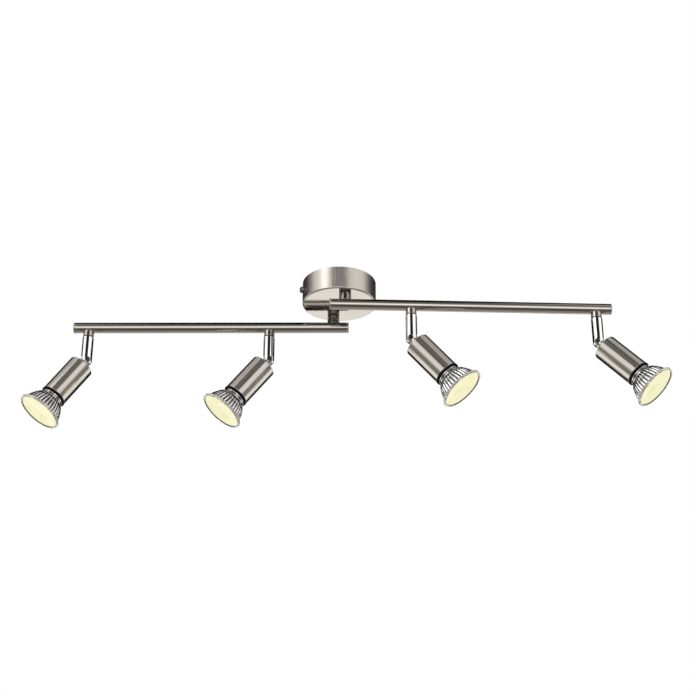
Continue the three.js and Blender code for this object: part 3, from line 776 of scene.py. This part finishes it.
def stem_fixings(side):
    """The washer and the six-sided nut that hold the stem in the canopy's floor."""
    place = bar_place(side)
    low, high, radius = span(f"{side}_stem_washer", place)
    hole, ease = 5.0 * MM, 0.15 * MM
    ring = eased([
        (hole, low, 0), (radius, low, ease), (radius, high, ease), (hole, high, 0), (hole, low, 0)])
    washer = surface(f"{side}_friction_washer", [turned(ring, WASHER_FACETS)], place)
    finished(washer, place, f"{side}_bar", [f"{side}_stem_washer"], zinc_steel, lay_around)
    low, high, corner = span(f"{side}_stem_nut", place)
    chamfer_depth, twelfth = 0.5 * MM, np.pi / 6
    angle = np.arange(FACETS) * TURN / FACETS
    flat = corner * np.cos(twelfth)
    hexagon = flat / np.cos((angle + twelfth) % (2 * twelfth) - twelfth)
    chamfer = np.minimum(hexagon, flat * 1.03)
    bore = np.full(FACETS, hole)
    rings = [(bore, low), (chamfer, low), (hexagon, low + chamfer_depth), (hexagon, high - chamfer_depth),
             (chamfer, high), (bore, high), (bore, low)]
    grid = np.stack([np.column_stack([r * np.cos(angle), r * np.sin(angle), np.full(FACETS, z)])
                     for r, z in rings])
    nut = surface(f"{side}_lock_nut", [grid], place)
    finished(nut, place, f"{side}_bar", [f"{side}_stem_nut"], zinc_steel, crease=20)


def bar_tube(side):
    """A plain drawn tube along X with eased ends."""
    place = lying(bar_place(side))
    low, high, radius = span(f"{side}_bar_tube", place)
    bore, ease = radius - TUBE_WALL, 0.2 * MM
    profile = eased([
        (bore, low, 0), (radius, low, ease), (radius, high, ease), (bore, high, 0), (bore, low, 0)])
    tube = surface(f"{side}_tube", [turned(subdivided(profile, 12 * MM))], place)
    finished(tube, place, f"{side}_bar", [f"{side}_bar_tube"], tube_nickel, lay_along)


def end_plug(side, end, along):
    """A plug in the tube's end: spigot, round-edged head and a fine seam behind it."""
    node = f"{side}_{end}_end_plug"
    place = lying(bar_place(side), along)
    low, high, radius = span(node, place)
    spigot, head = radius - 1.3 * MM, high - 2.0 * MM
    profile = eased([
        (0, low, 0), (spigot, low, 0.4 * MM), (spigot, head, 0), (radius, head, 0.2 * MM),
        (radius, high, 0.9 * MM), (0, high, 0)])
    plug = surface(f"{side}_{end}_plug", [turned(profile)], place)
    finished(plug, place, f"{side}_bar", [node], turned_nickel, lay_around)


def stub(name, side):
    """A short turned stub with a round shoulder under the tube, and a thin black ring above the arm: painted shade
    for the dark seam between stub and arm.
    """
    node = f"{name}_stub"
    bar = bar_place(side)
    reach = in_place(np.array([joints[f"{name}_pan"]["pos_m"]]), bar)[0][0]
    place = shifted(bar, reach)
    low, _, radius = span(node, place)
    bore, shoulder, edge = 3.9 * MM, -4.1 * MM, 1.5 * MM
    foot, ring_radius, ring_ease, seam = low + 0.7 * MM, radius - 0.25 * MM, 0.1 * MM, 0.05 * MM
    # painted shade: a thin black ring standing in for the dark seam between stub and arm
    ring = eased([
        (bore, low, 0), (ring_radius, low, ring_ease), (ring_radius, foot - seam, ring_ease),
        (bore, foot - seam, 0), (bore, low, 0)], steps=3)
    washer = surface(f"{name}_shade_seam_ring", [turned(ring)], place)
    finished(washer, place, f"{side}_bar", [node], black_plastic, lay_around)
    profile = eased([
        (bore, foot, 0), (radius, foot, 0.2 * MM), (radius, shoulder, edge), (bore, shoulder, 0),
        (bore, foot, 0)], steps=10)
    grid = rested(subdivided(profile, 0.5 * MM), seat_radius_on(side), -1)
    piece = surface(f"{name}_arm_stub", [grid], place)
    # painted shade: the stub takes the nickel painted darker
    finished(piece, place, f"{side}_bar", [node], stub_nickel_painted_dark, lay_along)


# ---- arms ----------------------------------------------------------------------------------------------
SLOT_HALF = 2.3 * MM
SLOT_BACK = 1.3 * MM


def arm(name):
    """A round arm with a domed end, slotted on the lamp's side so that the tongue can swing to level."""
    place = arm_place(name)
    _, high, radius = span(f"{name}_arm", place)
    reach = radius - SLOT_BACK
    spigot, shoulder, wire_bore = 3.6 * MM, high - 4.5 * MM, 2.0 * MM
    dome = np.radians(np.linspace(-90, 0, 17))
    dome = np.column_stack([radius * np.cos(dome), radius * np.sin(dome)])
    neck = eased([
        (radius, 0, 0), (radius, shoulder, 0.5 * MM), (spigot, shoulder, 0), (spigot, high, 0.3 * MM),
        (wire_bore, high, 0), (wire_bore, reach / 2, 0), (0, reach / 2, 0)])
    profile = np.vstack([dome, subdivided(neck, 4 * MM)[1:]])
    piece = surface(f"{name}_swivel_arm", [turned(profile)], place)
    bend = np.radians(np.linspace(90, 180, 13))
    back = np.column_stack([reach * np.cos(bend), reach * np.sin(bend)])
    far = 2 * radius
    outline = np.vstack([[(-reach, -far), (far, -far), (far, reach)], back])
    across = crosswise(place)
    slot = slab("cutter", outline, -SLOT_HALF, SLOT_HALF, SHARP, across)
    sink, sink_radius = radius - 1.5 * MM, 2.9 * MM
    sinks = [rod(crosswise(place, way), sink_radius, sink, 2 * radius) for way in (-1, 1)]
    finished(cut(piece, slot, *sinks), place, f"{name}_arm_body", [f"{name}_arm"],
             polished_chrome, lay_along)


def pivot_screw(name):
    """The screw across the arm: a shank with a sunk round head at each end, one of them slotted."""
    upright = arm_place(name)
    place = crosswise(upright)
    low, high, radius = span(f"{name}_pivot_screw", place)
    shank, head = 1.5 * MM, 1.0 * MM
    profile = eased([
        (0, low, 0), (radius, low, 0.3 * MM), (radius, low + head, 0), (shank, low + head, 0),
        (shank, high - head, 0), (radius, high - head, 0), (radius, high, 0.3 * MM), (0, high, 0)])
    screw = surface(f"{name}_pivot_pin", [turned(profile, SCREW_FACETS)], place)
    slot_half = 0.45 * MM
    slot = brick(place, (-slot_half, -2 * radius, high - slot_half), (slot_half, 2 * radius, high + radius))
    # painted shade: the pivot screw takes the zinc painted dark
    finished(cut(screw, slot), place, f"{name}_arm_body", [f"{name}_pivot_screw"],
             pivot_zinc_painted_dark, lay_around)


# ---- lamp heads ------------------------------------------------------------------------------------------
def tongue(name):
    """A round-ended plate on the pivot, over a turned foot whose stud goes through the housing's top."""
    place = head_place(name)
    low, high, foot_radius = span(f"{name}_tongue", place)
    half_width, half_thick, edge = 4.0 * MM, 2.0 * MM, 0.3 * MM
    flange_low = span(f"{name}_housing", place)[1] + 0.3 * MM
    flange_high = flange_low + 1.2 * MM
    plate_low = flange_low + 0.3 * MM
    bend = np.linspace(0, np.pi, 25)
    end = np.column_stack([high * np.cos(bend), high * np.sin(bend)])
    outline = np.vstack([[(-half_width, plate_low), (half_width, plate_low)], end])
    across = crosswise(place)
    plate = slab(f"{name}_tilt_tongue", outline, -half_thick, half_thick, edge, across)
    hole = rod(across, 1.8 * MM, -2 * half_thick, 2 * half_thick)
    body = f"{name}_head"
    finished(cut(plate, hole), place, body, [f"{name}_tongue"], polished_chrome,
             lay_along)
    stud = 2.7 * MM
    profile = eased([
        (0, low, 0), (stud, low, edge), (stud, flange_low, 0), (foot_radius, flange_low, 0.15 * MM),
        (foot_radius, flange_high, 0.5 * MM), (0, flange_high, 0)])
    foot = surface(f"{name}_tongue_foot", [turned(profile, WASHER_FACETS)], place)
    finished(foot, place, body, [f"{name}_tongue"], polished_chrome, lay_around)


def housing(name):
    """A drawn cup around the lampholder: flat top with a stud hole, eased shoulder and a bevelled mouth."""
    place = head_place(name)
    low, high, radius = span(f"{name}_housing", place)
    wall, hole = 1.0 * MM, 3.0 * MM
    profile = eased([
        (hole, high, 0), (radius, high, 0.7 * MM), (radius, low, 0.5 * MM), (radius - wall, low, 0.2 * MM),
        (radius - wall, high - wall, 0.5 * MM), (hole, high - wall, 0), (hole, high, 0)], steps=6)
    cup = surface(f"{name}_lamp_housing", [turned(subdivided(profile, 6 * MM), HOUSING_FACETS)], place)
    finished(cup, place, f"{name}_head", [f"{name}_housing"], satin_nickel, lay_along)


def bezel(name):
    """A black ring in the housing's mouth: a spigot inside and a rounded lip outside."""
    place = head_place(name)
    low, high, radius = span(f"{name}_bezel_ring", place)
    mouth, _, housing_radius = span(f"{name}_housing", place)
    spigot, lip_top = housing_radius - 1.3 * MM, mouth - 0.1 * MM
    bore = housing_radius - 2.3 * MM
    profile = eased([
        (bore, high, 0), (bore, low, 0.3 * MM), (radius, low, 0.8 * MM), (radius, lip_top, 0.4 * MM),
        (spigot, lip_top, 0), (spigot, high, 0.2 * MM), (bore, high, 0)], steps=6)
    ring = surface(f"{name}_mouth_ring", [turned(profile, HOUSING_FACETS)], place)
    finished(ring, place, f"{name}_head", [f"{name}_bezel_ring"], black_plastic,
             lay_around)


RIBS = 32
RIB_FACETS = 10
RIB_POWER = 0.8
BELL_RADIUS = 22.4 * MM
RIM_DEPTH = 2.7 * MM
FIRST_TIER = 0.32
SECOND_TIER = 0.33


def valleys(angle):
    """1 at the bottom of each valley between the ribs, and 0 along the middle of each rib."""
    return 1 - np.abs(np.sin(RIBS * angle / 2)) ** RIB_POWER


def bell(name):
    """A silvered glass reflector: ringed neck, then two tiers of flutes on a flaring bell.

    On a tier the radius at angle t is the smooth bell radius less depth times (1 - |sin(ribs t / 2)| to the
    rib power), so that rounded ribs meet in narrow valleys. The flutes run out between the two tiers."""
    place = head_place(name)
    face, back, rim_radius = span(f"{name}_bulb_reflector", place)
    ring_low = span(f"{name}_bezel_ring", place)[0]
    rim_back = face + RIM_DEPTH
    neck, ring, start = 11.3 * MM, 12.7 * MM, ring_low - 3.5 * MM
    groove_radius, glass, neck_glass = ring - 0.9 * MM, 2.0 * MM, 1.1 * MM
    neck_path = eased([
        (neck, back, 0), (neck, ring_low - 0.3 * MM, 0), (ring, ring_low - 0.3 * MM, 0.3 * MM),
        (ring, ring_low - 1.5 * MM, 0.3 * MM), (groove_radius, ring_low - 1.6 * MM, 0.2 * MM),
        (groove_radius, ring_low - 2.5 * MM, 0.2 * MM), (ring, ring_low - 2.6 * MM, 0.2 * MM),
        (ring, start, 0.2 * MM), (ring + 0.3 * MM, start, 0)], steps=3)
    depth = start - rim_back
    share = np.concatenate([np.linspace(0, FIRST_TIER, 9), np.linspace(SECOND_TIER, 1, 17)])
    knots = np.array([0, 0.12, 0.25, 0.32, 0.45, 0.6, 0.8, 1.0])
    radii = np.array([13.0, 15.6, 17.3, 17.9, 19.1, 20.3, 21.5, 22.4]) * MM
    smooth = np.interp(share, knots, radii)
    bell_path = np.column_stack([smooth, start - share * depth])
    outer = np.vstack([neck_path, bell_path])
    angle_count = RIBS * RIB_FACETS
    grid = turned(outer, angle_count)
    angle = np.arange(angle_count) * TURN / angle_count
    tier_one = np.clip(np.minimum(share / 0.05, (FIRST_TIER - share) / 0.03), 0, 1)
    tier_two = np.clip(np.minimum((share - SECOND_TIER) / 0.05, (1.0 - share) / 0.04), 0, 1)
    flute_depth = 0.9 * MM * tier_one + 1.3 * MM * tier_two
    dip = np.zeros((len(outer), angle_count))
    dip[-len(share):] = flute_depth[:, None] * valleys(angle)[None, :]
    radial = np.stack([np.cos(angle), np.sin(angle), np.zeros_like(angle)], axis=-1)
    grid = grid - dip[..., None] * radial[None]
    inner = np.vstack([
        [(BELL_RADIUS - 0.3 * MM, rim_back)],
        np.column_stack([smooth - glass, bell_path[:, 1] + 0.2 * MM])[::-1],
        [(neck - neck_glass, start), (neck - neck_glass, back)]])
    closed = np.vstack([grid, turned(inner, angle_count), grid[:1]])
    piece = surface(f"{name}_reflector_bell", [closed], place)

    def hollows(local):
        """Valleys between ribs on the bell, and the grooves of the neck: where the silvering paints shade."""
        on_neck = local[:, 2] > start - 0.05 * MM
        radius = np.hypot(local[:, 0], local[:, 1])
        groove = np.clip((ring - radius) / (0.5 * MM), 0, 1)
        return np.where(on_neck, groove, valleys(np.arctan2(local[:, 1], local[:, 0])))

    finished(piece, place, f"{name}_head", [f"{name}_bulb_reflector"], silvered_glass,
             lay_plain, crease=50, hollows=hollows)
    return rim_back, face, rim_radius


def rim_and_lens(name, rim_back, face, rim_radius):
    """The clear flat rim around the bell's mouth, and the lit front glass set into it."""
    place = head_place(name)
    seat_radius, rim_radius = BELL_RADIUS + 0.5 * MM, rim_radius - 0.25 * MM
    profile = eased([
        (seat_radius, rim_back, 0), (rim_radius, rim_back, 0.9 * MM), (rim_radius, face, 0.9 * MM),
        (seat_radius, face, 0.3 * MM), (seat_radius, rim_back, 0)], steps=6)
    rim = surface(f"{name}_clear_rim", [turned(profile, RIM_FACETS)], place)
    body = f"{name}_head"
    finished(rim, place, body, [f"{name}_bulb_reflector"], rim_glass, lay_plain)
    depth, wall, seat_face = 1.0 * MM, 0.15 * MM, face + 0.1 * MM
    profile = np.array([
        [seat_radius - wall, seat_face], [seat_radius, seat_face], [seat_radius, rim_back],
        [seat_radius - wall, rim_back], [seat_radius - wall, seat_face]])
    silver_seat = surface(f"{name}_silvered_seat", [turned(profile, RIM_FACETS)], place)
    finished(silver_seat, place, body, [f"{name}_bulb_reflector"], silvered_glass,
             lay_plain)
    radius, crown, edge = seat_radius - 2 * wall, 0.6 * MM, 0.3 * MM
    share = np.linspace(0, 1, 22)
    front = np.column_stack([share * (radius - edge), face + depth - crown * (1 - share**2)])
    profile = np.vstack([front, [(radius, face + depth + edge), (radius, rim_back)], [(0, rim_back)]])
    lens = surface(f"{name}_front_glass", [turned(profile, HOUSING_FACETS)], place)
    finished(lens, place, body, [f"{name}_bulb_lens"], glowing_lens, lay_plain)


def inside_of_head(name):
    """The lampholder and lamp cap keep their CAD shape, and take a fired-ceramic finish."""
    place = head_place(name)
    for part in ("lampholder", "bulb_base"):
        eased_copy(f"{name}_{part}", f"{name}_{part}_body", f"{name}_head", steatite,
                   place, 0.3 * MM)


canopy_cup()
canopy_inside()
side_fixings()
for side in SIDES:
    stem(side)
    stem_fixings(side)
    bar_tube(side)
    end_plug(side, "outer", 1)
    end_plug(side, "inner", -1)
    for head in PLACES:
        name = f"{side}_{head}"
        stub(name, side)
        arm(name)
        pivot_screw(name)
        tongue(name)
        housing(name)
        bezel(name)
        rim_and_lens(name, *bell(name))
        inside_of_head(name)


# ---- studio ----------------------------------------------------------------------------------------------
FLOOR_DROP = 2.4
PALE = (0.93, 0.93, 0.925, 1)


def floor():
    """A wide pale floor a room's height below the ceiling, seen by the camera and clear to reflections."""
    reach = 30.0
    corners = [(x, y, -FLOOR_DROP) for x, y in ((-reach, -reach), (reach, -reach), (reach, reach),
                                                (-reach, reach))]
    mesh = bpy.data.meshes.new("floor")
    mesh.from_pydata(corners, [], [(0, 1, 2, 3)])
    ground = bpy.data.objects.new("floor", mesh)
    bpy.context.scene.collection.objects.link(ground)
    material = bpy.data.materials.new("pale floor")
    material.use_nodes = True
    material.node_tree.nodes.clear()
    w = Wiring(material.node_tree)
    seen = w.add("ShaderNodeLightPath").outputs["Is Camera Ray"]
    pale = w.add("ShaderNodeEmission", {"Color": PALE, "Strength": 1.0})
    clear = w.add("ShaderNodeBsdfTransparent")
    both = w.add("ShaderNodeMixShader", {0: seen, 1: clear.outputs[0], 2: pale.outputs[0]})
    w.link(both.outputs[0], w.add("ShaderNodeOutputMaterial").inputs["Surface"])
    mesh.materials.append(material)


def studio():
    """Soft light from all round: bright panels at both sides, dark flags overhead and behind.

    The swing is the angle from the camera's side of the room, either way round, and the elevation is from
    the horizon, in degrees. Each zone is a smooth box in the two, laid over the ones before it."""
    world = bpy.data.worlds.new("studio")
    bpy.context.scene.world = world
    world.use_nodes = True
    world.node_tree.nodes.clear()
    w = Wiring(world.node_tree)
    toward = w.add("ShaderNodeTexCoord").outputs["Generated"]
    axis = w.add("ShaderNodeSeparateXYZ", {0: toward}).outputs
    degrees = 180 / np.pi
    around = w.math("ARCTAN2", axis["X"], w.times(axis["Y"], -1.0))
    swing = w.math("ABSOLUTE", w.times(around, degrees))
    elevation = w.times(w.math("ARCSINE", axis["Z"]), degrees)

    def zone(value, low, high, soft):
        rise = w.ramp(value, low - soft, low + soft)
        return w.times(rise, w.ramp(value, high - soft, high + soft, 1, 0))

    light = (*STUDIO_AIR, 1)
    for across, upright, colour in STUDIO_ZONES:
        where = w.times(zone(swing, *across), zone(elevation, *upright))
        light = w.mix(where, light, (*colour, 1))
    path = w.add("ShaderNodeLightPath").outputs
    seen = w.math("MAXIMUM", path["Is Camera Ray"], path["Is Transmission Ray"])
    backdrop = w.mix(seen, light, (1, 1, 1, 1))
    background = w.add("ShaderNodeBackground", {"Color": backdrop, "Strength": 1.0})
    w.link(background.outputs[0], w.add("ShaderNodeOutputWorld").inputs["Surface"])


def warm(level):
    """Lamp light of one level, a little warm."""
    return (level, level * 0.965, level * 0.925)


STUDIO_AIR = warm(0.3)
STUDIO_ZONES = [
    # swing from, to, softness; elevation from, to, softness; light
    ((20, 110, 6), (34, 82, 5), warm(0.6)),      # high side panels
    ((-9, 22, 6), (31, 52, 4), warm(0.19)),      # gap between them
    ((-9, 24, 7), (4, 22, 4), warm(0.6)),        # front wall
    ((24, 60, 5), (-4, 21, 5), warm(1.1)),       # side panels' lower half
    ((26, 106, 4), (19, 34, 3), warm(1.25)),     # side panels' middle
    ((60, 90, 7), (-26, 3, 5), warm(0.26)),      # shade below them
    ((-9, 40, 8), (-16, 3, 3), warm(1.6)),       # low front strip
    ((-9, 40, 8), (-31, -16, 3), warm(0.85)),
    ((-9, 60, 12), (-80, -33, 4), warm(0.1)),    # dark floor in front
    ((94, 131, 4), (-30, 4, 5), warm(1.25)),     # low rear sides
    ((110, 200, 4), (8, 95, 3), warm(0.005)),    # flags behind
    ((-9, 20, 3), (51, 95, 3), warm(0.005)),     # flag overhead
    ((-9, 200, 9), (68, 95, 3), warm(0.005)),
    ((132, 200, 3), (-14, 9, 3), warm(0.01)),
    ((145, 200, 6), (-45, -15, 4), warm(0.3)),   # grey wall behind
    ((150, 200, 5), (-34, -17, 2), warm(1.2)),   # pale panel on it
    ((-9, 200, 9), (-100, -84, 6), (0.3, 0.26, 0.22)),  # warm shade below
    ((100, 200, 9), (-84, -50, 6), (0.36, 0.31, 0.26)),
    ((-9, 29, 3), (21.5, 30, 1), warm(0.02)),    # narrow dark slits
    ((88, 116, 3), (21.5, 30, 1), warm(0.01)),
]

CAMERA_STAND = (0.008, -1.400, -0.748)
CAMERA_TILT = 25.55
CAMERA_TURN = -0.07
CAMERA_LENS = 73.8
FILM_WIDTH = 36.0
KEY_STAND = (-1.5, -1.3, 1.5)
KEY_TILT, KEY_TURN = 53, -49
KEY_SIZE, KEY_POWER = 1.0, 6.0


def camera():
    """Stands in front and below, and looks up at the fixture."""
    data = bpy.data.cameras.new("camera")
    data.lens, data.sensor_width = CAMERA_LENS, FILM_WIDTH
    data.clip_start, data.clip_end = 0.01, 100.0
    stand = bpy.data.objects.new("camera", data)
    stand.location = CAMERA_STAND
    stand.rotation_euler = (np.radians(90 + CAMERA_TILT), 0, np.radians(CAMERA_TURN))
    bpy.context.scene.collection.objects.link(stand)
    bpy.context.scene.camera = stand


def key_light():
    """One broad soft lamp, high up at the left in front."""
    data = bpy.data.lights.new("key", "AREA")
    data.shape, data.size, data.energy = "SQUARE", KEY_SIZE, KEY_POWER
    lamp = bpy.data.objects.new("key", data)
    lamp.location = KEY_STAND
    lamp.rotation_euler = (np.radians(KEY_TILT), 0, np.radians(KEY_TURN))
    bpy.context.scene.collection.objects.link(lamp)


floor()
studio()
camera()
key_light()
bpy.context.scene.view_settings.view_transform = "Standard"
